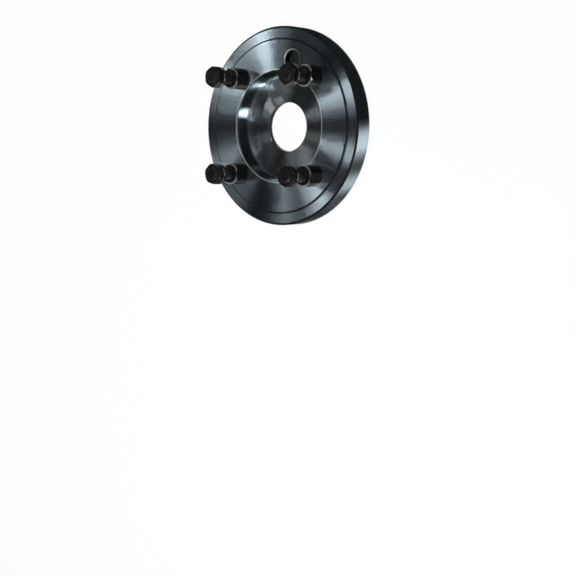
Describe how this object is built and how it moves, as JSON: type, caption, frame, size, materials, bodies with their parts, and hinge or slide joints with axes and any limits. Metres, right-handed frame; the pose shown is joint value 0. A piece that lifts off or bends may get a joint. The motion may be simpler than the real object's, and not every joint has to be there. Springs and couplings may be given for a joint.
{
  "type": "centering flange",
  "caption": "Turned steel centering flange with a short taper recess, through bore, driver hole and collar studs carrying collar nuts, for a bayonet spindle mounting.",
  "frame": {"origin": "centre of the flat back face, on the flange axis", "axes": "+Z along the flange axis, out of the taper recess toward the nuts; +Y is the upper side in the picture"},
  "size_m": [0.25, 0.25, 0.0842],
  "materials": {
    "turned_steel": "fine turned and dark blued, with concentric tool marks",
    "black_oxide_steel": "satin black oxide, with bright worn edges"
  },
  "bodies": {
    "flange": {"flange_body": "turned_steel", "stud_1": "black_oxide_steel", "stud_2": "black_oxide_steel", "stud_3": "black_oxide_steel", "stud_4": "black_oxide_steel"},
    "nut_1": {"collar_nut_1": "black_oxide_steel"},
    "nut_2": {"collar_nut_2": "black_oxide_steel"},
    "nut_3": {"collar_nut_3": "black_oxide_steel"},
    "nut_4": {"collar_nut_4": "black_oxide_steel"}
  },
  "joints": [
    {"name": "nut_1_turn", "type": "hinge", "parent": "flange", "child": "nut_1", "pos_m": [0.0606, 0.0606, 0.07625], "axis": [0, 0, 1], "continuous": true},
    {"name": "nut_2_turn", "type": "hinge", "parent": "flange", "child": "nut_2", "pos_m": [-0.0606, 0.0606, 0.07625], "axis": [0, 0, 1], "continuous": true},
    {"name": "nut_3_turn", "type": "hinge", "parent": "flange", "child": "nut_3", "pos_m": [-0.0606, -0.0606, 0.07625], "axis": [0, 0, 1], "continuous": true},
    {"name": "nut_4_turn", "type": "hinge", "parent": "flange", "child": "nut_4", "pos_m": [0.0606, -0.0606, 0.07625], "axis": [0, 0, 1], "continuous": true}
  ]
}
